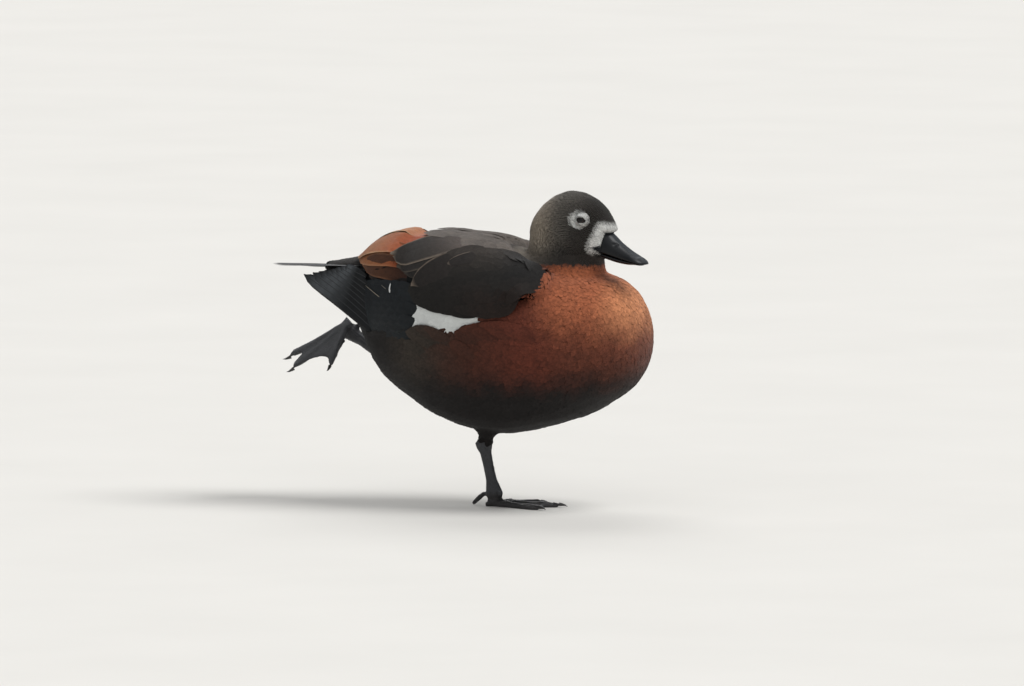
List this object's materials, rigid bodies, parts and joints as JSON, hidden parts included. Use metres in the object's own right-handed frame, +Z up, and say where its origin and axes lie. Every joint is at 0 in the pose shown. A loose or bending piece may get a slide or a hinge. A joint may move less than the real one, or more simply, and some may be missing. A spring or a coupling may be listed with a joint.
{
  "type": "shelduck",
  "caption": "Life-size still female Australian shelduck resting on its right leg, the left leg stretched out behind, head turned slightly to its right.",
  "frame": {"origin": "on the floor under the middle of the bird's outline", "axes": "+X the way the body faces, +Y to the bird's left, +Z up"},
  "size_m": [0.3462, 0.1488, 0.2751],
  "materials": {
    "head_feathers": "matte soft plumage, dark grey-brown, white round the eye and at the bill",
    "body_feathers": "matte soft plumage, chestnut breast grading to dark brown",
    "shoulder_feathers": "matte plumage, dark brown with paler edges",
    "tertial_feathers": "matte plumage, orange-chestnut with pale rims",
    "flight_feathers": "silky black vanes with a green cast",
    "bill_horn": "satin slate horn",
    "eye": "wet and glossy, dark brown",
    "leg_scales": "satin scaled skin, dark grey",
    "foot_web": "satin web, dark grey-brown",
    "claw_horn": "satin black horn"
  },
  "bodies": {
    "root": {"bill_lower": "bill_horn", "bill_upper": "bill_horn", "claw_left_inner": "claw_horn", "claw_left_middle": "claw_horn", "claw_left_outer": "claw_horn", "claw_right_inner": "claw_horn", "claw_right_middle": "claw_horn", "claw_right_outer": "claw_horn", "eye_left": "eye", "eye_right": "eye", "foot_left": "foot_web", "foot_right": "foot_web", "head": "head_feathers", "hind_toe_left": "leg_scales", "hind_toe_right": "leg_scales", "neck": "head_feathers", "primaries_left": "flight_feathers", "primaries_right": "flight_feathers", "scapulars_left": "shoulder_feathers", "scapulars_right": "shoulder_feathers", "tail": "flight_feathers", "tarsus_left": "leg_scales", "tarsus_right": "leg_scales", "tertials_left": "tertial_feathers", "tertials_right": "tertial_feathers", "thigh_left": "body_feathers", "thigh_right": "body_feathers", "trunk": "body_feathers", "wing_left": "flight_feathers", "wing_right": "flight_feathers"}
  },
  "joints": []
}
